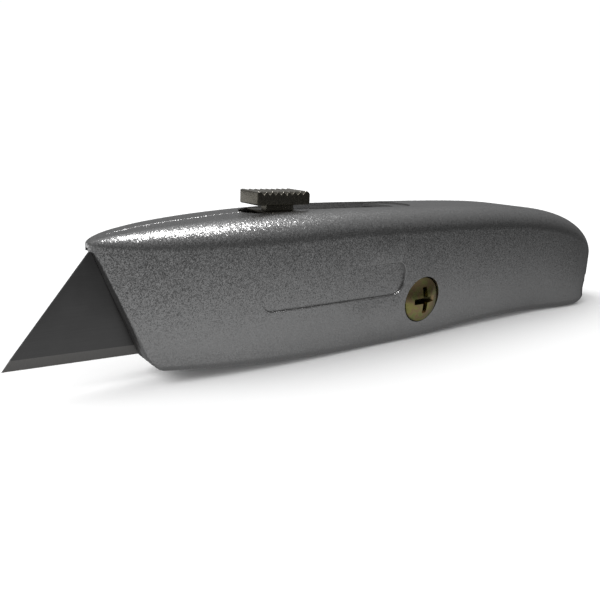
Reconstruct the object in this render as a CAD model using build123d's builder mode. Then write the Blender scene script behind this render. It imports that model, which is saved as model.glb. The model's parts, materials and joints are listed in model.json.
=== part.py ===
from build123d import *
from math import cos, pi, radians, sin, sqrt, tan
import os

# Retractable utility knife: a two-half die-cast body around a sliding blade carrier.
#
# Millimetres.  X runs from the blade's point to the tail, -Y is the left hand side, +Z is up.
# The knife stands on its belly: Z = 0 is the belly's lowest line, and X = 0 is the middle of
# the knife with the blade out.  Places along the knife are given from the nose line, 1 mm in
# front of the rounded nose, and are moved into the frame by the planes below.

os.makedirs("parts", exist_ok=True)

# ---- driving dimensions: body ---------------------------------------------------------------
body_length = 151.7        # nose line to tail
nose_start = 1.05          # nose line to the tip of the rounded nose
body_half_width = 10.3     # widest, at the shoulders
body_height = 30.55        # belly to the highest point of the top
nose_round_length = 45.0   # stretch over which the plan view widens
tail_round_start = 60.0    # where the plan view starts to narrow again
taper_ratio = 0.765        # belly half-width over shoulder half-width along the body
tail_taper_ratio = 1.04    # the same at the tail, where the sides stand upright
belly_slice = 0.12         # cut off the belly, so that it rests on flats
seam_groove = 0.12         # fine V along the line where the halves meet
mouth_round = 0.7          # radius on the outer edge of the blade mouth
rim_round = 0.25           # radius on the rims of the panel and the screw seat

nose_under = (1.72, 24.16)   # underside of the nose tip, where the mouth starts
mouth_foot = (8.9, 6.2)
mouth_heel = (13.2, 2.2)
hook_rear = 4.6            # the left half's nose wraps round to here

slot_front, slot_rear = 30.3, 69.2   # thumb slot, round at both ends
slot_half_width = 5.0
slot_floor = 27.7
ledge_rear = 73.6          # end of the shallow ledge round the slot's rear end
ledge_drop = 0.4
tunnel_low, tunnel_high, tunnel_rear = 28.2, 29.4, 93.0   # room for the strip behind the slot

panel_front, panel_rear = 30.0, 66.6
panel_low, panel_high = 11.75, 19.05
panel_depth, panel_corner = 0.5, 2.9

hole_x, hole_z, hole_r = 146.6, 4.9, 2.9          # lanyard hole
dish_floor, dish_depth, dish_flare = 5.8, 2.5, 2.4

# ---- driving dimensions: blade and carrier --------------------------------------------------
blade_length = 61.0        # along the cutting edge
blade_spine = 33.4
blade_height = 18.7
blade_thick = 0.6
blade_tilt = 1.8           # degrees, edge lower at the back
blade_out = 12.9           # point of the blade in front of the nose line
blade_point_z = 5.66
bevel_width = 1.85
edge_half_thick = 0.03
notch_gap = 9.8            # between the two spine notches
notch_depth, notch_r = 2.6, 1.4

slide_travel = 22.8
stop_count = 4
press_travel = 1.0
running = 0.1              # sliding clearance

channel_low, channel_high = 5.6, 24.7
blade_gap = 0.5            # half of the blade channel's width
carrier_face = blade_thick / 2
carrier_back = 3.35
carrier_channel = 3.7
carrier_top = 23.6
strip_low, strip_thick, strip_half_width = 28.4, 0.8, 4.8
strip_front, strip_rear = 42.1, 69.8
stud_r = 1.2
stud_proud = 0.25

# ---- driving dimensions: button, spring, screw and spares -----------------------------------
cap_front, cap_rear = 31.8, 44.0
cap_half_width = 3.3
cap_low, cap_high = 31.1, 33.75
groove_count = 8
groove_depth = 0.55
groove_half_width = 0.5
neck_front, neck_rear, neck_foot = 35.3, 41.7, 25.0
neck_half_width = 1.0
flange_front, flange_rear, flange_half_width = 34.2, 41.9, 4.6
flange_low, flange_thick = 28.9, 1.0
ear_front, ear_rear, ear_reach = 38.5, 41.0, 3.2
ear_low, ear_thick = 25.4, 1.2
pin_x, pin_z, pin_r = 36.6, 26.0, 0.6

leaf_low, leaf_tall, leaf_thick = 24.6, 2.2, 0.4
tooth_x = 46.0             # detent leaf's tooth
tooth_notch_r = 1.25
rivet_places = [(53.6, 25.7), (57.2, 25.7)]
rivet_r = 0.7

screw_x, screw_z = 73.3, 9.6
screw_head_r = 5.2
screw_shank_r = 2.0
head_seat = 7.9            # from the parting plane to the screw's seat
head_rim = 0.6
head_dome = 1.3
dome_radius = (screw_head_r**2 + head_dome**2) / (2 * head_dome)
screw_reach = 5.6
recess_span, recess_width, recess_depth = 6.2, 1.35, 1.5
boss_r, boss_proud = 3.5, 0.45
peg_places = [(19.0, 26.6), (146.5, 15.0)]
peg_r = 1.1

spare_count = 5
spare_front = 78.6
spare_low = 4.45
spare_pitch = 0.61
tray_left, tray_right = 5.1, 1.2   # tray's span to the left of the parting plane
tray_floor = 0.8
store_cut = 13.0           # the store's upper rear corner, cut back along the falling top

through = 12.0             # deeper than either half is wide

nose = blade_out - (body_length + blade_out) / 2   # X of the nose line
side = Plane(origin=(nose, 0, 0), x_dir=(1, 0, 0), z_dir=(0, -1, 0))   # faces left
plan = Plane(origin=(nose, 0, 0), x_dir=(1, 0, 0), z_dir=(0, 0, 1))


# ---- the body's outer form ----------------------------------------------------------------
def half_width(x):
    """Shoulder half-width: an ellipse quadrant at the nose, a blunt superellipse at the tail."""
    if x < nose_round_length:
        t = 1 - (x - nose_start) / (nose_round_length - nose_start)
        return body_half_width * sqrt(1 - t**2)
    t = max(0.0, (x - tail_round_start) / (body_length - tail_round_start))
    return body_half_width * sqrt(1 - t**12)


def taper(x):
    """Belly half-width over shoulder half-width: constant, then a smooth step up to the tail."""
    step_start, step_length = 120.0, body_length - 125.0
    t = min(1.0, max(0.0, (x - step_start) / step_length))
    return taper_ratio + (tail_taper_ratio - taper_ratio) * t * t * (3 - 2 * t)


def top_line(x):
    """Height of the top: rises from the nose tip, level over the slot, rounds off at the tail."""
    peak_x, nose_drop, tail_z = 52.0, 5.3, 7.0
    if x < peak_x:
        u = 1 - (x - nose_start) / (peak_x - nose_start)
        return body_height - nose_drop * (1 - sqrt(1 - u * u)) ** 0.82
    t = (x - peak_x) / (body_length - peak_x)
    return tail_z + (body_height - tail_z) * sqrt(1 - t**4.8)


def belly_line(x):
    """Height of the belly: falls from the nose to a foot, hollow behind it, rounds up at the end."""
    nose_rise, front_rest, rear_rest, hollow, hollow_end = 3.9, 67.0, 70.0, 1.2, 143.0
    tail_start, tail_z = 141.0, 8.3
    height = 0.0
    if x < front_rest:
        height = nose_rise * (1 - x / front_rest) ** 2
    elif rear_rest < x < hollow_end:
        height = hollow * sin(pi * (x - rear_rest) / (hollow_end - rear_rest)) ** 2
    if x > tail_start:
        t = (x - tail_start) / (body_length - tail_start)
        height += tail_z * (1 - sqrt(1 - t * t))
    return height


def half_section(x, inset=0.0):
    """One cross-section of the body's left half: level top, round shoulder, a side that leans in
    to the belly along the common tangent of its two corner arcs, and a small belly corner."""
    w_top = half_width(x) - inset
    w_low = half_width(x) * taper(x) - inset
    high = top_line(x) - belly_slice
    low = belly_line(x) - belly_slice
    r_top = 0.48 * w_top
    r_low = 0.27 * w_low
    shoulder = Vector(r_top - w_top, high - r_top)
    corner = Vector(r_low - w_low, low + r_low)
    along = (corner - shoulder).normalized()
    lean = (r_top - r_low) / (corner - shoulder).length
    outward = along * lean + Vector(along.Y, -along.X) * sqrt(1 - lean**2)
    side_top, side_low = shoulder + outward * r_top, corner + outward * r_low
    half_way = (Vector(0, 1) + outward).normalized()
    low_way = (Vector(0, -1) + outward).normalized()
    # The seam groove starts behind the nose tip, which is all one piece.
    seam = seam_groove * min(1.0, max(0.04, (x - 4.0) / 4.0))
    with BuildSketch(Plane.YZ.offset(nose + x)) as section:
        with BuildLine():
            Polyline((0, high - seam), (-seam, high), (shoulder.X, high))
            ThreePointArc((shoulder.X, high), shoulder + half_way * r_top, side_top)
            Line(side_top, side_low)
            ThreePointArc(side_low, corner + low_way * r_low, (corner.X, low))
            Polyline((corner.X, low), (-seam, low), (0, low + seam), (0, high - seam))
        make_face()
    return section


def rim(faces):
    """Edges round a group of faces: those that no two of them share, off the parting plane."""
    edges = [edge for face in faces for edge in face.edges()]
    return [edge for edge in edges if edges.count(edge) == 1 and (edge @ 0.5).Y < -0.15]


nose_stations = [1.2, 1.6, 2.3, 3.6, 6.0, 9.5, 14.0, 20.0, 28.0, 38.0]
middle_stations = [52.0, 68.0, 84.0, 100.0, 114.0, 125.0]
tail_stations = [133.0, 139.0, 143.5, 146.8, 149.2, 150.7, 151.45]
stations = nose_stations + middle_stations + tail_stations

with BuildPart() as left_form:
    loft(sections=[half_section(station).sketch for station in stations])
    split(bisect_by=Plane.XY, keep=Keep.TOP)
    # The mouth leans back from under the nose tip and rounds into the belly.
    with BuildSketch(side):
        with BuildLine():
            lean = Line(nose_under, mouth_foot)
            heel = TangentArc(mouth_foot, mouth_heel, tangent=lean % 1)
            Polyline(heel @ 1, (mouth_heel[0], -5), (-5, -5), (-5, nose_under[1]), nose_under)
        make_face()
    extrude(amount=2 * through, both=True, mode=Mode.SUBTRACT)
    mouth_lean = Vector(mouth_foot[0] - nose_under[0], 0, mouth_foot[1] - nose_under[1])
    mouth_walls = left_form.faces().filter_by(
        lambda face: face.geom_type == GeomType.CYLINDER
        or (face.geom_type == GeomType.PLANE and abs(face.normal_at().Y) < 0.01
            and abs(face.normal_at().dot(mouth_lean)) < 0.01))
    fillet(rim(mouth_walls), radius=mouth_round)

with BuildPart() as panel_pocket:
    with BuildSketch(side.offset(5)):
        with Locations(((panel_front + panel_rear) / 2, (panel_low + panel_high) / 2)):
            RectangleRounded(panel_rear - panel_front, panel_high - panel_low, panel_corner)
    extrude(amount=through)
    loft(sections=[half_section(x, panel_depth).sketch for x in (24, 28, 33, 38, 45, 52, 60, 68)],
         mode=Mode.SUBTRACT)


def blade_edge(x):
    """Height of the blade's cutting edge at x."""
    return blade_point_z - (x + blade_out) * tan(radians(blade_tilt))


def rectangle(x_low, x_high, z_low, z_high):
    """Rectangle between two places along the knife and two heights (or sides, in plan)."""
    with Locations(((x_low + x_high) / 2, (z_low + z_high) / 2)):
        return Rectangle(x_high - x_low, z_high - z_low)


def cavity_outline(front, rear, low, high, cut):
    """Outline of the rear cavity, with its upper rear corner cut back along the falling top."""
    points = [(front, low), (rear, low), (rear, high - cut), (rear - cut, high), (front, high)]
    return Polygon(*points, align=None)


# ---- body halves --------------------------------------------------------------------------
with BuildPart() as shared_pockets:
    # Channel of the blade, with its floor a little below the cutting edge.
    edge_room, channel_front, channel_step, channel_rear = 0.45, -3.0, 48.0, 81.0
    channel_floor = blade_edge(channel_step) - edge_room
    with BuildSketch(side):
        Polygon((channel_front, blade_edge(channel_front) - edge_room),
                (channel_step, channel_floor), (channel_rear, channel_floor),
                (channel_rear, channel_high), (channel_front, channel_high), align=None)
    extrude(amount=blade_gap, both=True)
    # Thumb slot, the ledge round its rear end, and the tunnel that the strip runs into.
    ledge_z = top_line(ledge_rear) - belly_slice - ledge_drop
    for floor_z, rear in ((slot_floor, slot_rear), (ledge_z, ledge_rear)):
        with BuildSketch(plan.offset(floor_z)):
            with Locations(((slot_front + rear) / 2, 0)):
                SlotOverall(rear - slot_front, 2 * slot_half_width)
        extrude(amount=through)
    with BuildSketch(plan.offset(tunnel_low)):
        rectangle(slot_rear - slot_half_width, tunnel_rear, -slot_half_width, slot_half_width)
    extrude(amount=tunnel_high - tunnel_low)

with BuildPart() as lanyard_bore:
    with BuildSketch(side):
        with Locations((hole_x, hole_z)):
            Circle(hole_r)
    extrude(amount=through, both=True)
    # A dished seat round each mouth of the hole.
    for hand in (1, -1):
        with BuildSketch(side.offset(dish_floor * hand)):
            with Locations((hole_x, hole_z)):
                Circle(hole_r)
        with BuildSketch(side.offset((dish_floor + dish_depth) * hand)):
            with Locations((hole_x, hole_z)):
                Circle(hole_r + dish_flare)
        loft()

# Pockets in the inner faces, as (front, rear, low, high), and their depths.
leaf_pocket = (28, 89, 23.4, 28.3)
nose_pocket, nose_pocket_depth = (22, 34, 9, 22), 5.4
side_pockets, side_pocket_depth = [(34, 66, 7, 22), (84, 124, 6, 22)], 7.2
store_low, store_high, store_rear, store_depth = 3.4, 25.3, 141.0, 5.3

with BuildPart() as left_shell:
    add(left_form.part)
    add(mirror(left_form.part, about=Plane.XZ))
    with BuildSketch(plan):
        rectangle(-5, body_length + 5, -2 * through, 0)
        rectangle(-5, hook_rear, -1, 2 * through)
    extrude(amount=2 * body_height, mode=Mode.INTERSECT)
    add(shared_pockets.part, mode=Mode.SUBTRACT)
    add(lanyard_bore.part, mode=Mode.SUBTRACT)
    add(panel_pocket.part, mode=Mode.SUBTRACT)
    panel_faces = (left_shell.faces()
                   .filter_by_position(Axis.X, nose + panel_front, nose + panel_rear)
                   .filter_by_position(Axis.Z, panel_low - 0.1, panel_high + 0.1)
                   .filter_by_position(Axis.Y, -through, -6))
    fillet(rim(panel_faces), radius=rim_round)
    with BuildSketch(side):
        rectangle(*leaf_pocket)
    extrude(amount=2.5, mode=Mode.SUBTRACT)
    with BuildSketch(side):
        rectangle(*nose_pocket)
    extrude(amount=nose_pocket_depth, mode=Mode.SUBTRACT)
    with BuildSketch(side):
        for pocket in side_pockets:
            rectangle(*pocket)
    extrude(amount=side_pocket_depth, mode=Mode.SUBTRACT)
    with BuildSketch(side):
        cavity_outline(77.5, store_rear, store_low, store_high, store_cut)
    extrude(amount=store_depth, mode=Mode.SUBTRACT)
    # Round seat and clearance hole of the body screw.
    with BuildSketch(side.offset(head_seat)):
        with Locations((screw_x, screw_z)):
            Circle(screw_head_r + 0.2)
    extrude(amount=5, mode=Mode.SUBTRACT)
    seat_faces = (left_shell.faces()
                  .filter_by_position(Axis.X, nose + screw_x - 1, nose + screw_x + 1)
                  .filter_by_position(Axis.Z, screw_z - 1, screw_z + 1)
                  .filter_by_position(Axis.Y, -through, 0.1 - head_seat))
    fillet(rim(seat_faces), radius=rim_round)
    with BuildSketch(side.offset(head_seat)):
        with Locations((screw_x, screw_z)):
            Circle(screw_shank_r + 0.2)
    extrude(amount=-through, mode=Mode.SUBTRACT)
    with BuildSketch(side):
        with Locations(*peg_places):
            Circle(peg_r + 0.05)
    extrude(amount=3.4, mode=Mode.SUBTRACT)

with BuildPart() as right_shell:
    add(mirror(left_form.part, about=Plane.XZ))
    with BuildSketch(plan):
        rectangle(-5, hook_rear + 0.05, -2 * through, 2 * through)
    extrude(amount=2 * body_height, mode=Mode.SUBTRACT)
    add(shared_pockets.part, mode=Mode.SUBTRACT)
    add(lanyard_bore.part, mode=Mode.SUBTRACT)
    with BuildSketch(side):
        rectangle(10.2, 82, channel_low, channel_high)
        rectangle(*leaf_pocket)
    extrude(amount=-carrier_channel, mode=Mode.SUBTRACT)
    with BuildSketch(side):
        cavity_outline(83, store_rear, store_low, store_high, store_cut)
        rectangle(*nose_pocket)
    extrude(amount=-nose_pocket_depth, mode=Mode.SUBTRACT)
    with BuildSketch(side):
        for pocket in side_pockets:
            rectangle(*pocket)
    extrude(amount=-side_pocket_depth, mode=Mode.SUBTRACT)
    # Upright notches for the detent leaf's tooth, one at each stop.
    with BuildSketch(plan.offset(leaf_low)):
        for stop in range(stop_count):
            with Locations((tooth_x + stop * slide_travel / (stop_count - 1), carrier_channel)):
                Circle(tooth_notch_r)
    extrude(amount=3, mode=Mode.SUBTRACT)
    # Boss that the body screw draws up in, and the two locating pegs.
    with BuildSketch(side.offset(boss_proud)):
        with Locations((screw_x, screw_z)):
            Circle(boss_r)
    extrude(amount=-(carrier_channel + boss_proud + 1))
    with BuildSketch(side.offset(3)):
        with Locations(*peg_places):
            Circle(peg_r)
    extrude(amount=-4)
    with BuildSketch(side.offset(boss_proud)):
        with Locations((screw_x, screw_z)):
            Circle(screw_shank_r + 0.05)
    extrude(amount=-(screw_reach + 1.2), mode=Mode.SUBTRACT)

# ---- body screw: oval head with a cross recess ----------------------------------------------
screw_axis = Plane(origin=(nose + screw_x, 0, screw_z), x_dir=(1, 0, 0), z_dir=(0, 0, 1))
with BuildPart() as body_screw:
    with BuildSketch(screw_axis):
        with BuildLine():
            rim_y = -(head_seat + head_rim)
            RadiusArc((0, rim_y - head_dome), (screw_head_r, rim_y), dome_radius)
            Polyline((screw_head_r, rim_y), (screw_head_r, -head_seat), (screw_shank_r, -head_seat),
                     (screw_shank_r, screw_reach - 0.6), (screw_shank_r - 0.6, screw_reach),
                     (0, screw_reach), (0, rim_y - head_dome))
        make_face()
    revolve(axis=Axis((nose + screw_x, 0, screw_z), (0, 1, 0)))
    with BuildSketch(side.offset(head_seat + head_rim + head_dome)):
        with Locations((screw_x, screw_z)):
            Rectangle(recess_span, recess_width)
            Rectangle(recess_width, recess_span)
    extrude(amount=-recess_depth, taper=12, mode=Mode.SUBTRACT)

# ---- blade and spare blades -----------------------------------------------------------------
def make_blade(blade_plane, spine_start):
    """Trapezoid blade with a two-sided ground bevel and two round-bottomed spine notches."""
    across = Plane(origin=blade_plane.origin, x_dir=(0, 1, 0), z_dir=blade_plane.x_dir)
    half = blade_thick / 2
    with BuildPart() as made:
        with BuildSketch(across):
            Polygon((-edge_half_thick, 0), (edge_half_thick, 0), (half, bevel_width),
                    (half, blade_height + 1),
                    (-half, blade_height + 1), (-half, bevel_width), align=None)
        extrude(amount=blade_length)
        with BuildSketch(blade_plane):
            Polygon((0, 0), (blade_length, 0), (blade_length - spine_start, blade_height),
                    (spine_start, blade_height), align=None)
            with Locations((blade_length / 2 - notch_gap / 2, blade_height),
                           (blade_length / 2 + notch_gap / 2, blade_height)):
                SlotOverall(2 * notch_depth, 2 * notch_r, rotation=90, mode=Mode.SUBTRACT)
        extrude(amount=1, both=True, mode=Mode.INTERSECT)
    return made


spine_start = (blade_length - blade_spine) / 2
tilt = radians(blade_tilt)
fitted = Plane(origin=(nose - blade_out, 0, blade_point_z), x_dir=(cos(tilt), 0, -sin(tilt)),
               z_dir=(0, -1, 0))
blade = make_blade(fitted, spine_start)

spare_blades = []
for number in range(spare_count):
    place = Plane(origin=(nose + spare_front, -tray_left + tray_floor + spare_pitch * (number + 0.5),
                          spare_low), x_dir=(1, 0, 0), z_dir=(0, -1, 0))
    spare_blades.append(make_blade(place, spine_start))

# ---- blade carrier --------------------------------------------------------------------------
stud_places = [(blade_length / 2 + hand * notch_gap / 2, blade_height - notch_depth + notch_r)
               for hand in (-1, 1)]

with BuildPart() as blade_carrier:
    with BuildSketch(side.offset(-carrier_face)) as plate:
        Polygon((10.5, 13), (10.5, 22), (12.5, carrier_top), (56, carrier_top), (56, 15.2),
                (44.5, 15.2), (44.5, 6.4), (18, 6.4), align=None)
        fillet(plate.vertices().group_by(Axis.X)[-1], radius=1)
    extrude(amount=carrier_face - carrier_back)
    # Head that the button and the leaf sit on, and the riser that carries the strip.
    with BuildSketch(plan.offset(carrier_top)):
        rectangle(31, 52, -2.2, 2.5)
        rectangle(51, 60, -1.0, 2.5)
    extrude(amount=4)
    with BuildSketch(plan.offset(carrier_top + 3.9)):
        rectangle(strip_front, 60, -1.0, 2.2)
    extrude(amount=1)
    # Strip that closes the thumb slot behind the button.
    with BuildSketch(plan.offset(strip_low)):
        rectangle(strip_front, strip_rear, -strip_half_width, strip_half_width)
    extrude(amount=strip_thick)
    # Socket for the button's neck, window for its ear, and the hole of its pin.
    with BuildSketch(plan.offset(neck_foot - 2)):
        rectangle(neck_front - running, neck_rear + running, -neck_half_width - running,
                  neck_half_width + running)
        rectangle(ear_front - 2 * running, ear_rear + 2 * running, 0, ear_reach - 2 * running)
    extrude(amount=6, mode=Mode.SUBTRACT)
    with BuildSketch(side.offset(3)):
        with Locations((pin_x, pin_z)):
            Circle(pin_r)
    extrude(amount=-6, mode=Mode.SUBTRACT)
    with BuildSketch(fitted.offset(1)):
        with Locations(*stud_places):
            Circle(stud_r)
    extrude(amount=-6, mode=Mode.SUBTRACT)
    with BuildSketch(side):
        with Locations(*rivet_places):
            Circle(rivet_r)
    extrude(amount=-6, mode=Mode.SUBTRACT)

with BuildPart() as blade_studs:
    with BuildSketch(fitted.offset(stud_proud)):
        with Locations(*stud_places):
            Circle(stud_r)
    extrude(amount=-(stud_proud + carrier_back))

# ---- thumb button, its pin, and the detent leaf ---------------------------------------------
with BuildPart() as thumb_button:
    with BuildSketch(side.offset(cap_half_width)) as cap:
        rectangle(cap_front, cap_rear, cap_low, cap_high)
        fillet(cap.vertices().group_by(Axis.X)[-1], radius=1.0)
        first_groove, last_groove = cap_front + 0.9, cap_rear - 1.3
        for groove in range(groove_count):
            x = first_groove + groove * (last_groove - first_groove) / (groove_count - 1)
            Polygon((x - groove_half_width, cap_high + 0.01), (x, cap_high - groove_depth),
                    (x + groove_half_width, cap_high + 0.01), align=None, mode=Mode.SUBTRACT)
    extrude(amount=-2 * cap_half_width)
    with BuildSketch(side.offset(neck_half_width)):
        rectangle(neck_front, neck_rear, neck_foot, cap_low + 0.1)
    extrude(amount=-2 * neck_half_width)
    with BuildSketch(plan.offset(flange_low)):
        rectangle(flange_front, flange_rear, -flange_half_width, flange_half_width)
    extrude(amount=flange_thick)
    with BuildSketch(plan.offset(ear_low)):
        rectangle(ear_front, ear_rear, 0, ear_reach)
    extrude(amount=ear_thick)
    # Upright slot that lets the neck sink along its pin.
    with BuildSketch(side.offset(3)):
        with Locations((pin_x, pin_z + press_travel / 2)):
            SlotOverall(2 * (pin_r + running) + press_travel, 2 * (pin_r + running), rotation=90)
    extrude(amount=-6, mode=Mode.SUBTRACT)

with BuildPart() as button_pin:
    with BuildSketch(side.offset(2.1)):
        with Locations((pin_x, pin_z)):
            Circle(pin_r)
    extrude(amount=-4.5)

with BuildPart() as detent_leaf:
    with BuildSketch(plan.offset(leaf_low)):
        with BuildLine():
            FilletPolyline((58.9, 2.75), (49.6, 2.75), (47.6, 3.1), (tooth_x, 4.35), (44.4, 3.1),
                           (42.8, 2.75), radius=leaf_thick)
        trace(line_width=leaf_thick)
    extrude(amount=leaf_tall)
    with BuildSketch(side):
        with Locations(*rivet_places):
            Circle(rivet_r)
    extrude(amount=-6, mode=Mode.SUBTRACT)

with BuildPart() as leaf_rivets:
    shank_start, head_start, head_thick = 0.5, 2.95, 0.4
    with BuildSketch(side.offset(-shank_start)):
        with Locations(*rivet_places):
            Circle(rivet_r)
    extrude(amount=shank_start - head_start)
    with BuildSketch(side.offset(-head_start)):
        with Locations(*rivet_places):
            Circle(rivet_r * 1.7)
    extrude(amount=-head_thick)

# ---- spare blade store ----------------------------------------------------------------------
with BuildPart() as spare_blade_tray:
    with BuildSketch(side.offset(tray_right)):
        cavity_outline(77.8, 140.7, 3.6, 25.1, store_cut - 0.1)
    extrude(amount=tray_left - tray_right)
    with BuildSketch(side):
        cavity_outline(78.4, 140.1, 4.4, 24.5, store_cut - 0.2)
    extrude(amount=tray_left - tray_floor, mode=Mode.SUBTRACT)

with BuildPart() as tray_spring:
    with BuildSketch(side.offset(tray_right + 0.6)):
        with BuildLine():
            ThreePointArc((98, 23.35), (109, 24.3), (120, 23.35))
        trace(line_width=0.25)
    extrude(amount=2.2)

# ---- named nodes ----------------------------------------------------------------------------
nodes = {
    "left_shell": left_shell, "right_shell": right_shell, "body_screw": body_screw,
    "thumb_button": thumb_button, "button_pin": button_pin, "blade": blade,
    "blade_carrier": blade_carrier, "blade_studs": blade_studs, "detent_leaf": detent_leaf,
    "leaf_rivets": leaf_rivets, "spare_blade_tray": spare_blade_tray, "tray_spring": tray_spring,
}
for number, spare in enumerate(spare_blades, start=1):
    nodes[f"spare_blade_{number}"] = spare

for name, node in nodes.items():
    node.part.label = name
    export_step(node.part, f"parts/{name}.step")
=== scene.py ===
import json
from math import cos, pi, radians, sin

import bpy
import numpy as np
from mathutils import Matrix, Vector

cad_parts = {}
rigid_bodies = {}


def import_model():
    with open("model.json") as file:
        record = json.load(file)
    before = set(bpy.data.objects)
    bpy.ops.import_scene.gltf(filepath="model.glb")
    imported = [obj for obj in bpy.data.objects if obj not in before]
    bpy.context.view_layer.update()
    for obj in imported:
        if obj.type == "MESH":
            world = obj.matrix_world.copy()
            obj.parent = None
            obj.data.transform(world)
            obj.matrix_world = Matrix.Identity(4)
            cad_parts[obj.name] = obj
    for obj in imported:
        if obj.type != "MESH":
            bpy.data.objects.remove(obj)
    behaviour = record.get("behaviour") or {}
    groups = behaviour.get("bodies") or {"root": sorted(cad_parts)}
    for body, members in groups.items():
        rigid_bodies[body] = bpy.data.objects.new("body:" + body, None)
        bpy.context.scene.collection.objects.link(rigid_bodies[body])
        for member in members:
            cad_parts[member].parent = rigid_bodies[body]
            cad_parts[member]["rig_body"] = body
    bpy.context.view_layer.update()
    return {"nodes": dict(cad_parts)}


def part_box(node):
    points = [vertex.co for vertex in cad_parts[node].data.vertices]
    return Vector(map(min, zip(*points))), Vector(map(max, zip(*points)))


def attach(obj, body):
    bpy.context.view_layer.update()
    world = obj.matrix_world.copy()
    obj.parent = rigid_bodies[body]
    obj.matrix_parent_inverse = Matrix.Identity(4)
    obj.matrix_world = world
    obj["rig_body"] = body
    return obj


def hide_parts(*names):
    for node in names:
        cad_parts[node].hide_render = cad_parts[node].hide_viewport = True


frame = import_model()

MM = 0.001

# ---- the knife's own measures, in millimetres from the nose line ----------------------------
BLADE_OUT = 12.9
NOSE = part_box("blade")[0].x / MM + BLADE_OUT
NOSE_START, BODY_LENGTH, BODY_HEIGHT, SHOULDER = 1.05, 151.7, 30.55, 10.3
NOSE_ROUND, TAIL_ROUND, TAPER, TAIL_TAPER, BELLY_SLICE = 45.0, 60.0, 0.765, 1.04, 0.12
SCREW_X, SCREW_Z, HEAD_R, HEAD_SEAT, HEAD_RIM, HEAD_DOME = 73.3, 9.6, 5.2, 7.9, 0.6, 1.3
CROWN = HEAD_SEAT + HEAD_RIM + HEAD_DOME
SHANK_R, SCREW_REACH = 2.0, 5.6
HOLE_X, HOLE_Z = 146.6, 4.9
CAP_FRONT, CAP_REAR, CAP_HALF, CAP_LOW, CAP_HIGH = 31.8, 44.0, 3.3, 31.1, 33.75
NECK_FRONT, NECK_REAR, NECK_HALF, NECK_LOW = 35.3, 41.7, 1.0, 25.0
FLANGE_FRONT, FLANGE_REAR, FLANGE_HALF, FLANGE_LOW, FLANGE_HIGH = 34.2, 41.9, 4.6, 28.9, 29.9
BLADE_TILT, BLADE_POINT_Z, BEVEL_WIDTH = radians(1.8), 5.66, 1.85

# ---- the studio's measures, in metres --------------------------------------------------------
FLOOR_RADIUS, ROOM_RADIUS, BACKDROP_RADIUS = 6.0, 4.0, 5.5


# ---- camera, light and floor -----------------------------------------------------------------
def studio_camera():
    """A camera in front of the nose, to the left of the knife and a little above its back:
    turned by its tilt from straight down, its roll, and its heading from the knife's right."""
    tilt, roll, heading = 75.39, -2.585, -36.18
    camera = bpy.data.objects.new("studio_camera", bpy.data.cameras.new("studio_camera"))
    camera.location = Vector((NOSE - 28.24, -97.84, 42.54)) * MM
    camera.rotation_euler = radians(tilt), radians(roll), radians(heading)
    camera.data.sensor_width = 36.0
    camera.data.lens = 35.85
    camera.data.clip_start, camera.data.clip_end = 0.005, 20.0
    bpy.context.scene.collection.objects.link(camera)
    bpy.context.scene.camera = camera


def soft_box(name, place, target, size, power):
    """A rectangular soft light at place, turned to target, with its size in metres."""
    light = bpy.data.lights.new(name, "AREA")
    light.shape = "RECTANGLE"
    light.size, light.size_y = size
    light.energy = power
    lamp = bpy.data.objects.new(name, light)
    lamp.location = place
    lamp.rotation_mode = "QUATERNION"
    lamp.rotation_quaternion = (Vector(target) - Vector(place)).to_track_quat("-Z", "Y")
    bpy.context.scene.collection.objects.link(lamp)
    return lamp


# ---- shader arithmetic -----------------------------------------------------------------------
class Socket:
    """One output of a shader node; arithmetic on it adds Math nodes."""

    def __init__(self, finish, link):
        self.finish, self.link = finish, link

    def math(self, operation, *others):
        return self.finish.node("ShaderNodeMath", {"operation": operation},
                                dict(enumerate((self,) + others)))

    def __add__(self, other):
        return self.math("ADD", other)

    def __sub__(self, other):
        return self.math("SUBTRACT", other)

    def __rsub__(self, other):
        return self.finish.node("ShaderNodeMath", {"operation": "SUBTRACT"}, {0: other, 1: self})

    def __mul__(self, other):
        return self.math("MULTIPLY", other)

    __radd__, __rmul__ = __add__, __mul__

    def smooth(self, low, high):
        """0 below low, 1 above high, and a smooth step between them."""
        return self.finish.node("ShaderNodeMapRange", {"interpolation_type": "SMOOTHSTEP"},
                                {"Value": self, "From Min": low, "From Max": high})


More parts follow.
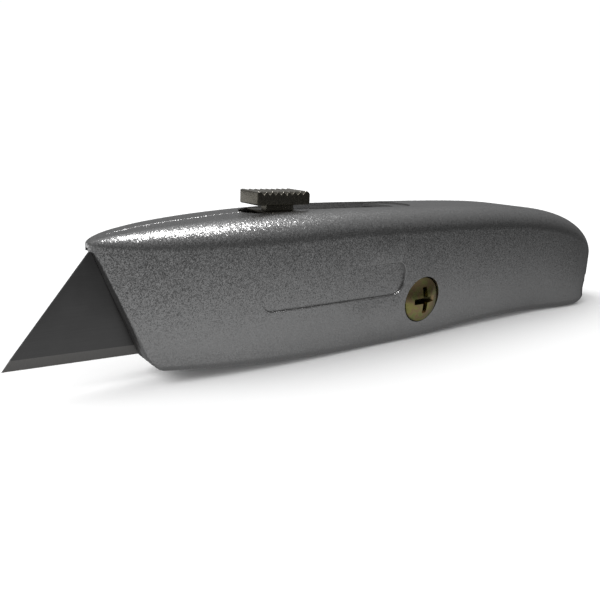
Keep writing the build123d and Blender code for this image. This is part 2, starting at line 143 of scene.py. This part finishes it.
class Finish:
    """A material and its node tree, built by calls that return Sockets."""

    def __init__(self, name):
        self.material = bpy.data.materials.new(name)
        self.material.use_nodes = True
        self.tree = self.material.node_tree
        self.shader = self.tree.nodes["Principled BSDF"]
        self.place = self.node("ShaderNodeTexCoord", output="Object")

    def node(self, kind, settings=None, values=None, output=0):
        """A node of this type: settings first, then the values or links of its inputs."""
        made = self.tree.nodes.new(kind)
        for name, value in (settings or {}).items():
            if name == "stops":
                self.set_stops(made.color_ramp, value)
            else:
                setattr(made, name, value)
        for name, value in (values or {}).items():
            if isinstance(value, Socket):
                self.tree.links.new(value.link, made.inputs[name])
            else:
                made.inputs[name].default_value = value
        return Socket(self, made.outputs[output])

    @staticmethod
    def set_stops(ramp, stops):
        while len(ramp.elements) < len(stops):
            ramp.elements.new(0.5)
        for element, (position, colour) in zip(ramp.elements, stops):
            element.position, element.color = position, colour

    def ramp(self, factor, *stops):
        """Colour ramp over stops of (position, colour)."""
        return self.node("ShaderNodeValToRGB", {"stops": stops}, {0: factor})

    def mix(self, factor, first, second, blend="MIX"):
        return self.node("ShaderNodeMix", {"data_type": "RGBA", "blend_type": blend},
                         {0: factor, 6: first, 7: second}, output=2)

    def tint(self, colour, strength):
        """A colour multiplied by a value."""
        return self.vector("SCALE", colour if isinstance(colour, Socket) else colour[:3],
                           Scale=strength)

    def vector(self, operation, *values, **named):
        return self.node("ShaderNodeVectorMath", {"operation": operation},
                         {**dict(enumerate(values)), **named})

    def axis(self, name):
        """X, Y or Z of the object coordinates, in millimetres."""
        return self.node("ShaderNodeSeparateXYZ", None, {0: self.place}, output=name) * (1 / MM)

    def radius(self, across, centre_across, up, centre_up):
        """Distance from a line that runs along the third axis, in millimetres."""
        return ((self.axis(across) - centre_across).math("POWER", 2)
                + (self.axis(up) - centre_up).math("POWER", 2)).math("SQRT")

    def noise(self, per_mm, detail=3.0, stretch=(1, 1, 1), rough=0.55):
        """Fractal noise with about per_mm bumps to the millimetre, drawn out along an axis
        by stretch."""
        scale = [per_mm / MM / s for s in stretch]
        return self.node("ShaderNodeTexNoise", None,
                         {"Vector": self.vector("MULTIPLY", self.place, scale), "Scale": 1.0,
                          "Detail": detail, "Roughness": rough})

    def cells(self, size_mm, output="Color"):
        """Random value of each cell of a Voronoi pattern with cells of this size."""
        return self.node("ShaderNodeTexVoronoi", None,
                         {"Vector": self.place, "Scale": 1 / (size_mm * MM)}, output=output)

    def attribute(self, name):
        return self.node("ShaderNodeAttribute", {"attribute_name": name}, output="Fac")

    def bump(self, height, distance_mm, strength=1.0, normal=None):
        values = {"Height": height, "Distance": distance_mm * MM, "Strength": strength}
        if normal is not None:
            values["Normal"] = normal
        return self.node("ShaderNodeBump", None, values)

    def flake_normal(self, size_mm, spread):
        """The surface normal, tilted at random in each flake of this size."""
        normal = self.node("ShaderNodeNewGeometry", output="Normal")
        tilt = self.vector("SUBTRACT", self.cells(size_mm), (0.5, 0.5, 0.5))
        return self.vector("NORMALIZE",
                           self.vector("ADD", normal, self.vector("SCALE", tilt, Scale=spread)))

    def shade(self, **values):
        """Sets or links the Principled shader's inputs, named with underscores, and gives
        the material."""
        for name, value in values.items():
            target = self.shader.inputs[name.replace("_", " ").title().replace("Ior", "IOR")]
            if isinstance(value, Socket):
                self.tree.links.new(value.link, target)
            else:
                target.default_value = value
        return self.material


def grey(level, warmth=0.0):
    """A grey of this linear level, a little warmer or cooler."""
    return (level * (1 + warmth), level, level * (1 - warmth), 1.0)


# ---- finishes --------------------------------------------------------------------------------
def silver_paint():
    """Silver flake lacquer over the castings; inside, it thins out over the bare rough metal,
    and painted shade darkens and roughens the dish of the lanyard hole."""
    f = Finish("silver_paint")
    bare = (f.attribute("depth") + f.noise(0.9) * 1.6).smooth(2.6, 3.6)
    hole = f.radius("X", NOSE + HOLE_X, "Z", HOLE_Z)
    # painted shade: the dish round the lanyard hole goes near black, standing in for the hole's
    # shade, and its paint is rougher there
    painted_hole_shade = 1 - (hole + f.noise(1.5) * 0.6).smooth(3.5, 4.9)
    flake = f.cells(0.16, "Distance") * 1.6
    level = 0.28 + f.noise(4.2, 4.0) * 0.12 + f.noise(0.05, 2.0) * 0.06 + flake * 0.10
    paint = f.tint(grey(1.0, 0.006), level)
    casting = f.mix(f.noise(1.4, 5.0), grey(0.30, 0.03), grey(0.18, 0.01))
    tilt = f.flake_normal(0.14, 0.34)
    pebbled = f.bump(f.noise(1.6, 2.0), 0.02, 0.5, tilt)
    rough = f.bump(f.noise(2.5, 5.0), 0.08, 1.0)
    return f.shade(
        base_color=f.mix(painted_hole_shade * 0.85, f.mix(bare, paint, casting), (0.03, 0.032, 0.03, 1)),
        metallic=1.0,
        roughness=0.25 + f.noise(3.0, 2.0) * 0.08 + bare * 0.24 + painted_hole_shade * 0.2,
        normal=f.mix(bare, pebbled, rough))


def yellow_passivated():
    """Zinc with a yellow chromate film: gold and olive with brown and green clouds, and painted
    shade, near black, deep in the driver recess."""
    f = Finish("yellow_passivated")
    clouds = f.noise(0.28, 2.0)
    film = f.ramp(clouds, (0.28, (0.20, 0.20, 0.07, 1)), (0.42, (0.40, 0.37, 0.13, 1)),
                  (0.52, (0.40, 0.28, 0.16, 1)), (0.62, (0.38, 0.38, 0.15, 1)),
                  (0.75, (0.16, 0.21, 0.09, 1)))
    # painted shade: near black deep inside the driver recess, where shade falls
    painted_recess_shade = ((f.axis("Y") + CROWN).smooth(0.65, 1.1)
              * (1 - f.radius("X", NOSE + SCREW_X, "Z", SCREW_Z).smooth(3.6, 4.0)))
    film = f.mix(painted_recess_shade * 0.85, film, (0.02, 0.02, 0.015, 1))
    return f.shade(base_color=film, metallic=1.0,
                   roughness=0.16 + f.noise(2.0, 4.0) * 0.14,
                   normal=f.bump(f.noise(3.0, 4.0), 0.01, 0.6))


def dark_nickel():
    """Smoky nickel plate over a rough casting, worn brighter on the crests of the teeth."""
    f = Finish("dark_nickel")
    crest = (f.axis("Z") + f.noise(2.5) * 0.25).smooth(CAP_HIGH - 0.12, CAP_HIGH + 0.12)
    pits = f.noise(3.2, 5.0)
    plate = f.mix(pits, (0.10, 0.092, 0.075, 1), (0.26, 0.245, 0.205, 1))
    return f.shade(base_color=f.mix(crest * 0.8, plate, (0.62, 0.60, 0.55, 1)), metallic=1.0,
                   roughness=0.20 + pits * 0.20, normal=f.bump(pits, 0.05, 0.9))


def blade_steel(name, point_x, point_z, tilt):
    """Dark hardened strip with fine lengthwise marks and a ground bevel along the cutting edge.
    The edge starts at point_x, point_z and falls away by tilt."""
    f = Finish(name)
    x, z = f.axis("X"), f.axis("Z")
    above = (z - point_z) * cos(tilt) + (x - point_x) * sin(tilt)
    ground = 1.0 - above.smooth(BEVEL_WIDTH - 0.05, BEVEL_WIDTH + 0.05)
    rolled = f.noise(6.0, 3.0, stretch=(40, 1, 1))
    across = f.noise(9.0, 2.0, stretch=(1, 1, 30))
    oil = f.noise(0.12, 3.0).smooth(0.35, 0.75)
    stain = f.noise(0.35, 4.0).smooth(0.68, 0.74) * 0.5
    strip = f.tint(grey(1.0, 0.01), 0.13 + rolled * 0.035 + oil * 0.03)
    strip = f.mix(stain, strip, (0.10, 0.065, 0.04, 1))
    bevel = f.tint(grey(1.0, 0.03), 0.27 + across * 0.10)
    marks = rolled * (1 - ground) + across * ground
    return f.shade(base_color=f.mix(ground, strip, bevel), metallic=1.0,
                   roughness=0.30 + oil * 0.08 + ground * 0.04 + rolled * 0.06,
                   normal=f.bump(marks, 0.004, 0.5))


def bare_zinc():
    """Bare zinc casting, dull grey, with flow marks."""
    f = Finish("bare_zinc")
    flow = f.noise(0.5, 5.0, stretch=(3, 1, 1))
    return f.shade(base_color=f.mix(flow, grey(0.26, 0.0), grey(0.40, 0.01)), metallic=1.0,
                   roughness=0.42 + flow * 0.14, normal=f.bump(f.noise(2.4, 5.0), 0.03, 0.6))


def spring_steel():
    """Blued spring strip with drawn marks."""
    f = Finish("spring_steel")
    drawn = f.noise(7.0, 3.0, stretch=(30, 1, 1))
    return f.shade(base_color=f.mix(drawn, (0.16, 0.17, 0.20, 1), (0.30, 0.31, 0.33, 1)),
                   metallic=1.0, roughness=0.26 + drawn * 0.12, normal=f.bump(drawn, 0.006, 0.5))


def turned_steel():
    """Bright turned pins and rivets with fine rings."""
    f = Finish("turned_steel")
    rings = f.noise(8.0, 2.0, stretch=(1, 0.4, 1))
    return f.shade(base_color=f.mix(rings, grey(0.42, 0.01), grey(0.58, 0.01)), metallic=1.0,
                   roughness=0.24 + rings * 0.12, normal=f.bump(rings, 0.006, 0.5))


def tray_plastic():
    """Black moulded plastic with a fine spark-eroded grain."""
    f = Finish("tray_plastic")
    grain = f.noise(5.0, 3.0)
    return f.shade(base_color=f.mix(grain, grey(0.012), grey(0.028)), metallic=0.0,
                   roughness=0.42 + grain * 0.2, normal=f.bump(grain, 0.03, 0.6))


# ---- meshes ----------------------------------------------------------------------------------
def place_piece(mesh, name, material):
    """An object at the origin that shows this mesh with this material."""
    piece = bpy.data.objects.new(name, mesh)
    bpy.context.scene.collection.objects.link(piece)
    mesh.materials.clear()
    mesh.materials.append(material)
    return piece


def stand_for(piece, node):
    """The piece is shown instead of the CAD node and rides on its body."""
    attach(piece, frame["nodes"][node]["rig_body"])
    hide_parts(node)
    return piece


def mesh_arrays(mesh):
    """Vertex places and the vertex index of each corner, as arrays."""
    places = np.empty(len(mesh.vertices) * 3)
    mesh.vertices.foreach_get("co", places)
    corners = np.empty(len(mesh.loops), np.int64)
    mesh.loops.foreach_get("vertex_index", corners)
    return places.reshape(-1, 3), corners


def merged_mesh(node, name, crease=radians(33)):
    """A copy of a CAD node's mesh with its loose triangles joined where their corners meet,
    shaded smooth except across edges sharper than crease."""
    places, corners = mesh_arrays(frame["nodes"][node].data)
    micron = np.round(places[corners] * 1e6).astype(np.int64)
    _, first, index = np.unique(micron, axis=0, return_index=True, return_inverse=True)
    triangles = index.reshape(-1, 3)
    whole = ((triangles[:, 0] != triangles[:, 1]) & (triangles[:, 1] != triangles[:, 2])
             & (triangles[:, 2] != triangles[:, 0]))
    mesh = bpy.data.meshes.new(name)
    mesh.from_pydata(places[corners][first], [], triangles[whole])
    mesh.shade_smooth()
    mesh.set_sharp_from_angle(angle=crease)
    mesh.update()
    return mesh


def smooth_piece(node, name, material):
    """A CAD node shown with its facets smoothed."""
    return stand_for(place_piece(merged_mesh(node, name), name, material), node)


def ring_mesh(name, rings, crease=radians(30)):
    """A closed skin over rings of points, an array (rings, points, 3): quads between one ring
    and the next, and a fan of triangles to the middle of the first and of the last ring."""
    count, around = rings.shape[:2]
    places = np.concatenate([rings.reshape(-1, 3), rings[:1].mean(1), rings[-1:].mean(1)])
    row = np.arange(count - 1)[:, None] * around
    here, there = np.arange(around), np.roll(np.arange(around), -1)
    quads = np.stack([row + here, row + there, row + around + there, row + around + here], -1)
    last = (count - 1) * around
    front = np.stack([np.full(around, count * around), there, here], -1)
    rear = np.stack([np.full(around, count * around + 1), last + here, last + there], -1)
    faces = [*quads.reshape(-1, 4).tolist(), *front.tolist(), *rear.tolist()]
    a, b, c = (places[[f[i] for f in faces]] for i in range(3))
    if np.einsum("ij,ij->i", a, np.cross(b, c)).sum() < 0:
        faces = [face[::-1] for face in faces]
    mesh = bpy.data.meshes.new(name)
    mesh.from_pydata(places, [], faces)
    mesh.shade_smooth()
    mesh.set_sharp_from_angle(angle=crease)
    return mesh


def joined(name, material, *meshes):
    """One piece from several closed meshes."""
    whole = bpy.data.meshes.new(name)
    places, faces, start = [], [], 0
    for mesh in meshes:
        places += [v.co[:] for v in mesh.vertices]
        faces += [[start + i for i in p.vertices] for p in mesh.polygons]
        start += len(mesh.vertices)
    whole.from_pydata(places, [], faces)
    whole.shade_smooth()
    whole.set_sharp_from_angle(angle=radians(30))
    return place_piece(whole, name, material)


# ---- the body's outer form -------------------------------------------------------------------
def half_width(x):
    """Half the width at the shoulders: an ellipse quadrant from the nose, level along the middle,
    and a twelfth-power ellipse to the tail."""
    front = 1 - (1 - np.clip((x - NOSE_START) / (NOSE_ROUND - NOSE_START), 1e-4, 1)) ** 2
    rear = 1 - np.clip((x - TAIL_ROUND) / (BODY_LENGTH - TAIL_ROUND), 0, 0.9999) ** 12
    return SHOULDER * np.sqrt(front * rear)


def taper(x):
    """Belly half-width over shoulder half-width: level, then a smooth step up to the tail."""
    step_start, step_length = 120.0, BODY_LENGTH - 125.0
    t = np.clip((x - step_start) / step_length, 0, 1)
    return TAPER + (TAIL_TAPER - TAPER) * t * t * (3 - 2 * t)


def top_line(x):
    """Height of the back: a flattened quarter circle up from the nose, and a 4.8-power
    ellipse down to the tail."""
    peak, drop, tail_z = 52.0, 5.3, 7.0
    u = 1 - np.clip((x - NOSE_START) / (peak - NOSE_START), 0, 1)
    t = np.clip((x - peak) / (BODY_LENGTH - peak), 0, 1)
    rise = BODY_HEIGHT - drop * (1 - np.sqrt(1 - u * u)) ** 0.82
    return np.where(x < peak, rise, tail_z + (BODY_HEIGHT - tail_z) * np.sqrt(1 - t**4.8))


def belly_line(x):
    """Height of the belly: a parabola down from the nose, a flat foot, a shallow sine-squared
    hollow, and a quarter ellipse up to the tail."""
    nose_rise, front_rest, rear_rest, hollow_end, hollow_rise = 3.9, 67.0, 70.0, 143.0, 1.2
    tail_start, tail_rise = 141.0, 8.3
    nose_part = nose_rise * (1 - np.clip(x / front_rest, 0, 1)) ** 2
    along_hollow = np.clip((x - rear_rest) / (hollow_end - rear_rest), 0, 1)
    hollow = hollow_rise * np.sin(pi * along_hollow) ** 2
    t = np.clip((x - tail_start) / (BODY_LENGTH - tail_start), 0, 1)
    return nose_part + hollow + tail_rise * (1 - np.sqrt(1 - t * t))


def outside(x, y, z):
    """How far a point stands outside the body's outer form, measured in its own cross-section.
    The section is the hull of a shoulder circle and a belly circle with a level top and belly:
    the distance is to the level top, the shoulder circle, the common tangent of the two
    circles, the belly circle or the level belly, by where the point lies."""
    y = np.abs(y)
    wide, narrow = half_width(x), half_width(x) * taper(x)
    r_top, r_low = 0.48 * wide, 0.27 * narrow
    high, low = top_line(x) - BELLY_SLICE, belly_line(x) - BELLY_SLICE
    y_top, z_top = wide - r_top, high - r_top
    y_low, z_low = narrow - r_low, low + r_low
    length = np.hypot(y_low - y_top, z_low - z_top)
    along_y, along_z = (y_low - y_top) / length, (z_low - z_top) / length
    lean = (r_top - r_low) / length
    level = np.sqrt(1 - lean**2)
    out_y, out_z = along_y * lean - along_z * level, along_z * lean + along_y * level
    reach = (y - y_top) * along_y + (z - z_top) * along_z
    side = (y - y_top) * out_y + (z - z_top) * out_z - r_top
    shoulder = np.hypot(y - y_top, z - z_top) - r_top
    corner = np.hypot(y - y_low, z - z_low) - r_low
    above, below = reach < r_top * lean, reach > length + r_low * lean
    return np.select([above & (y < y_top), above, below & (y < y_low), below],
                     [z - high, shoulder, low - z, corner], side)


def outward(x, y, z):
    """Unit normal of the outer form, from the slope of outside() along each axis."""
    step = 0.02
    slope = np.stack([
        outside(x + step, y, z) - outside(x - step, y, z),
        outside(x, y + step, z) - outside(x, y - step, z),
        outside(x, y, z + step) - outside(x, y, z - step)], -1)
    return slope / np.linalg.norm(slope, axis=-1, keepdims=True)


def body_half(node, name, material):
    """One casting of the body. Its corners on the outer form get the form's own normals, and
    the attribute depth holds how far inside that form each point lies, in millimetres."""
    mesh = merged_mesh(node, name)
    places, corners = mesh_arrays(mesh)
    x, y, z = (places / MM - (NOSE, 0, 0)).T
    depth = -outside(x, y, z)
    inside = mesh.attributes.new("depth", "FLOAT", "POINT")
    inside.data.foreach_set("value", depth.astype(np.float32))
    normals = np.empty(len(corners) * 3)
    mesh.corner_normals.foreach_get("vector", normals)
    normals = normals.reshape(-1, 3)
    form = outward(x, y, z)[corners]
    flat = np.empty(len(mesh.polygons) * 3)
    mesh.polygon_normals.foreach_get("vector", flat)
    flat = np.repeat(flat.reshape(-1, 3), 3, axis=0)
    agree = np.einsum("ij,ij->i", flat, form)
    off_seam = np.abs(y[corners]) > 1e-3
    on_form = ((np.abs(depth[corners]) < 0.04)
               & (agree > np.where(off_seam, cos(radians(40)), cos(radians(20)))))
    mesh.normals_split_custom_set(np.where(on_form[:, None], form, normals).tolist())
    return stand_for(place_piece(mesh, name, material), node)


# ---- screw -----------------------------------------------------------------------------------
def turned(profile, around, threads=None):
    """Rings of a shape turned about the screw's axis: profile is an array of (radius, y), and
    threads gives what a thread takes off the radius at each angle and y."""
    angle = np.arange(around) * 2 * pi / around
    radius = np.repeat(profile[:, :1], around, axis=1)
    y = np.repeat(profile[:, 1:], around, axis=1)
    if threads is not None:
        radius = radius - threads(angle[None, :], y)
    return np.stack([(NOSE + SCREW_X) + radius * np.cos(angle), y,
                     SCREW_Z + radius * np.sin(angle)], -1) * MM


def cross_cutter():
    """A tapered cross that cuts the driver recess: rings of a cross outline whose arms shorten
    and narrow towards the bottom, which ends in a shallow point."""
    rings = []
    turn = radians(4)
    for depth, arm, half in ((-0.8, 3.7, 0.78), (0.0, 3.45, 0.7), (1.4, 2.3, 0.5), (1.9, 0.5, 0.2)):
        quarter = np.array([(arm, -half), (arm, half), (half, half)])
        corners = np.concatenate([quarter @ np.array([[cos(a), sin(a)], [-sin(a), cos(a)]])
                                  for a in (turn + k * pi / 2 for k in range(4))])
        rings.append(np.stack([NOSE + SCREW_X + corners[:, 0], np.full(12, depth - CROWN),
                               SCREW_Z + corners[:, 1]], -1))
    return ring_mesh("cross_cutter", np.array(rings) * MM)


def cut(piece, cutter_mesh):
    """Cuts the cutter out of the piece and keeps the result as the piece's plain mesh."""
    cutter = bpy.data.objects.new("cutter", cutter_mesh)
    bpy.context.scene.collection.objects.link(cutter)
    cutting = piece.modifiers.new("cut", "BOOLEAN")
    cutting.operation, cutting.solver, cutting.object = "DIFFERENCE", "EXACT", cutter
    bpy.context.view_layer.update()
    graph = bpy.context.evaluated_depsgraph_get()
    mesh = bpy.data.meshes.new_from_object(piece.evaluated_get(graph))
    piece.modifiers.clear()
    piece.data = mesh
    bpy.data.objects.remove(cutter)
    mesh.shade_smooth()
    mesh.set_sharp_from_angle(angle=radians(30))


def oval_screw(material):
    """The body screw: a domed head with a rounded rim, a plain neck, and a rolled thread whose
    radius falls by a triangle wave of angle and length."""
    rim = -(HEAD_SEAT + HEAD_RIM)
    dome_radius = (HEAD_R**2 + HEAD_DOME**2) / (2 * HEAD_DOME)
    spread = np.linspace(0.03, 1, 26) * np.arcsin((HEAD_R - 0.12) / dome_radius)
    dome = np.stack([dome_radius * np.sin(spread),
                     rim - HEAD_DOME + dome_radius * (1 - np.cos(spread))], -1)
    bend = np.linspace(-0.9, pi / 2, 9)
    lip = np.stack([HEAD_R - 0.2 + 0.2 * np.cos(bend), rim + 0.25 + 0.2 * np.sin(bend)], -1)
    under = np.array([(HEAD_R - 0.5, -HEAD_SEAT), (SHANK_R + 0.35, -HEAD_SEAT),
                      (SHANK_R + 0.1, -HEAD_SEAT + 0.12), (SHANK_R, -HEAD_SEAT + 0.4)])
    shank_y = np.linspace(-HEAD_SEAT + 0.6, SCREW_REACH - 0.6, 190)
    shank = np.stack([np.full_like(shank_y, SHANK_R), shank_y], -1)
    tip = np.array([(SHANK_R - 0.35, SCREW_REACH - 0.2), (SHANK_R - 0.6, SCREW_REACH),
                    (0.4, SCREW_REACH)])

    def thread(angle, y):
        pitch, depth, start, end = 0.8, 0.34, -4.6, SCREW_REACH - 0.7
        wave = np.abs((y / pitch + angle / (2 * pi)) % 1 - 0.5) * 2
        run_in = np.clip((y - start) / 0.8, 0, 1)
        run_out = np.clip((end - y) / 0.4 + 1, 0, 1)
        return depth * np.clip(1.25 * wave - 0.15, 0, 1) * run_in * run_out

    rings = turned(np.concatenate([dome, lip, under, shank, tip]), 72, thread)
    blank = ring_mesh("oval_head_screw", rings, radians(38))
    screw = place_piece(blank, "oval_head_screw", material)
    cut(screw, cross_cutter())
    return stand_for(screw, "body_screw")


# ---- thumb button ----------------------------------------------------------------------------
def rounded_box_rings(stations, half, low, high, radius):
    """Rings across the knife at each station: a rectangle with round corners, half wide to
    each side, from low to high. half, low and high may change along the stations."""
    half, low, high = (np.broadcast_to(v, stations.shape)[:, None] for v in (half, low, high))
    corner = np.repeat(np.arange(4), 6) * pi / 2
    angle = corner + np.tile(np.linspace(0, pi / 2, 6), 4)
    side_y = np.sign(np.cos(corner + pi / 4))
    side_z = np.sign(np.sin(corner + pi / 4))
    radius = np.minimum(radius, 0.49 * np.minimum(2 * half, high - low))
    y = side_y * (half - radius) + radius * np.cos(angle)
    z = (low + high) / 2 + side_z * ((high - low) / 2 - radius) + radius * np.sin(angle)
    x = np.broadcast_to((NOSE + stations)[:, None], y.shape)
    return np.stack([x, y, z], -1) * MM


def rounded_ends(front, rear, radius, between):
    """Stations from front to rear, close together at the ends, and how far each ring draws in
    there: the shortfall of a quarter circle of this radius."""
    turn = np.linspace(0, pi / 2, 6)
    ends = radius * (1 - np.cos(turn))
    stations = np.concatenate([front + ends, between, (rear - ends)[::-1]])
    inward = np.clip(radius - np.minimum(stations - front, rear - stations), 0, radius)
    return stations, radius - np.sqrt(np.maximum(radius**2 - inward**2, 0))


def tooth_depth(x):
    """Depth of the grooves across the cap at x: a triangle wave with narrow flat crests."""
    teeth, first, last, depth = 8, CAP_FRONT + 0.75, CAP_REAR - 1.15, 0.62
    wave = np.abs(((x - first) / (last - first) * teeth) % 1 - 0.5) * 2
    return np.where((x > first) & (x < last), depth * np.clip(1.12 * (1 - wave), 0, 1), 0)


def serrated_button(material):
    """The thumb button: a cap with V grooves across it and a rounded rear end, the neck below,
    and the flange that slides under the rim of the slot."""
    between = np.linspace(CAP_FRONT + 0.4, CAP_REAR - 0.5, 200)
    stations, draw_in = rounded_ends(CAP_FRONT, CAP_REAR, 0.3, between)
    rear_round = 1.1
    behind = np.clip(stations - (CAP_REAR - rear_round), 0, rear_round)
    slope = rear_round - np.sqrt(np.maximum(rear_round**2 - behind**2, 0))
    high = CAP_HIGH - np.maximum(tooth_depth(stations), slope * 0.9)
    cap = ring_mesh("cap", rounded_box_rings(stations, CAP_HALF - draw_in, CAP_LOW + draw_in,
                                             high - draw_in, 0.22))
    blocks = [cap]
    for front, rear, half, low, top, radius in (
            (NECK_FRONT, NECK_REAR, NECK_HALF, NECK_LOW, CAP_LOW + 0.3, 0.15),
            (FLANGE_FRONT, FLANGE_REAR, FLANGE_HALF, FLANGE_LOW, FLANGE_HIGH, 0.25)):
        between = np.linspace(front + 0.6, rear - 0.6, 8)
        stations, draw_in = rounded_ends(front, rear, radius, between)
        blocks.append(ring_mesh("block", rounded_box_rings(
            stations, half - draw_in, low + draw_in, top - draw_in, radius)))
    button = joined("serrated_thumb_button", material, *blocks)
    return stand_for(button, "thumb_button")


# ---- studio ----------------------------------------------------------------------------------
def plain_finish(name, colour, strength=None):
    """A matt finish for the floor, or a glowing one for the walls that the metal mirrors."""
    f = Finish(name)
    if strength is None:
        return f.shade(base_color=colour, roughness=0.9, specular_ior_level=0.0)
    return f.shade(base_color=(0, 0, 0, 1), roughness=1.0, specular_ior_level=0.0,
                   emission_color=colour(f) if callable(colour) else colour,
                   emission_strength=strength)


def disc(name, radius, z, material):
    """A flat round floor."""
    angle = np.arange(96) * 2 * pi / 96
    ring = np.stack([radius * np.cos(angle), radius * np.sin(angle), np.full(96, z)], -1)
    mesh = bpy.data.meshes.new(name)
    mesh.from_pydata(ring, [], [list(range(96))])
    return place_piece(mesh, name, material)


def room_dome(name, radius, material):
    """A large sphere round the studio, from rings of latitude."""
    polar = np.linspace(0.02, pi - 0.02, 32)[:, None]
    angle = np.arange(64)[None, :] * 2 * pi / 64
    rings = radius * np.stack([np.sin(polar) * np.cos(angle), np.sin(polar) * np.sin(angle),
                               np.cos(polar) * np.ones_like(angle)], -1)
    return place_piece(ring_mesh(name, rings), name, material)


def table_glow(f):
    """The table as the metal mirrors it: brighter towards the point, dim where the body shades
    it, brightest behind the knife, and fading with distance in front."""
    ahead, along = f.axis("Y") * -1, f.axis("X")
    level = 0.50 - along.smooth(-130.0, 200.0) * 0.34
    level = level * (1 - ahead.smooth(28.0, 66.0) * 0.60 - ahead.smooth(75.0, 220.0) * 0.24)
    shaded = 0.45 + ahead.smooth(6.0, 20.0) * 0.55
    behind = (ahead * -1).smooth(20.0, 80.0) * 1.3
    return f.tint(grey(1.0, -0.01), level * (shaded + behind))


def wall_glow(f):
    """The room as the metal mirrors it: dim in front, and brighter behind and overhead."""
    x, y, z = (f.axis(name) * (MM / ROOM_RADIUS) for name in "XYZ")
    back = (y * 0.8 + x * 0.1).smooth(-0.25, 0.5)
    above, overhead = z.smooth(0.05, 0.65), z.smooth(0.7, 0.95)
    return f.tint(grey(1.0, -0.01), 0.08 + back * 0.07 + above * 0.18 + overhead * 0.25)


def surroundings():
    """White floor and backdrop for the eye, and a dimmer table and room that only the metal
    mirrors."""
    white = disc("floor", FLOOR_RADIUS, 0.0, plain_finish("floor_white", (0.93, 0.93, 0.93, 1)))
    table = disc("mirrored_table", FLOOR_RADIUS, -0.0002,
                 plain_finish("table_glow", table_glow, 1.0))
    room = room_dome("mirrored_room", ROOM_RADIUS, plain_finish("room_glow", wall_glow, 1.0))
    white.visible_glossy = False
    backdrop = room_dome("backdrop", BACKDROP_RADIUS,
                         plain_finish("backdrop_white", (1, 1, 1, 1), 1.02))
    for piece in (table, room, backdrop):
        piece.visible_camera = piece.visible_diffuse = piece.visible_shadow = False
        piece.visible_transmission = False
    backdrop.visible_camera, backdrop.visible_glossy = True, False


def lights():
    """Even white light, a soft sun from the left that shades the floor, and a narrow soft box
    over the nose that draws the light line along the shoulder."""
    world = bpy.data.worlds.new("studio_white")
    world.use_nodes = True
    world.node_tree.nodes["Background"].inputs["Color"].default_value = (1, 1, 1, 1)
    world.node_tree.nodes["Background"].inputs["Strength"].default_value = 0.74
    world.cycles_visibility.glossy = False
    bpy.context.scene.world = world
    key = soft_box("key_box", (-0.06, -0.045, 0.40), (-0.03, -0.005, 0.02), (0.24, 0.035), 0.9)
    key.visible_diffuse = False
    fill = bpy.data.objects.new("side_fill", bpy.data.lights.new("side_fill", "SUN"))
    fill.data.energy, fill.data.angle = 2.6, radians(50)
    fill.rotation_mode = "QUATERNION"
    fill.rotation_quaternion = Vector((0.85, -0.12, -0.72)).to_track_quat("-Z", "Y")
    fill.visible_glossy = False
    bpy.context.scene.collection.objects.link(fill)
    bpy.context.scene.view_settings.view_transform = "Standard"


studio_camera()
surroundings()
lights()

silver = silver_paint()
body_half("left_shell", "left_body_casting", silver)
body_half("right_shell", "right_body_casting", silver)
oval_screw(yellow_passivated())
serrated_button(dark_nickel())

zinc, spring, bright = bare_zinc(), spring_steel(), turned_steel()
smooth_piece("blade_carrier", "carrier_casting", zinc)
smooth_piece("blade_studs", "blade_stud_pair", bright)
smooth_piece("detent_leaf", "detent_leaf_strip", spring)
smooth_piece("leaf_rivets", "leaf_rivet_pair", bright)
smooth_piece("button_pin", "button_cross_pin", bright)
smooth_piece("tray_spring", "tray_bow_spring", spring)


def paint_node(node, material):
    """Gives a CAD node's own object a finish."""
    slots = frame["nodes"][node].material_slots
    if slots:
        slots[0].material = material
    else:
        frame["nodes"][node].data.materials.append(material)


paint_node("blade", blade_steel("fitted_blade_steel", NOSE - BLADE_OUT, BLADE_POINT_Z, BLADE_TILT))
first_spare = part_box("spare_blade_1")[0]
spare_steel = blade_steel("spare_blade_steel", first_spare.x / MM, first_spare.z / MM, 0.0)
for number in range(1, 6):
    paint_node(f"spare_blade_{number}", spare_steel)
paint_node("spare_blade_tray", tray_plastic())
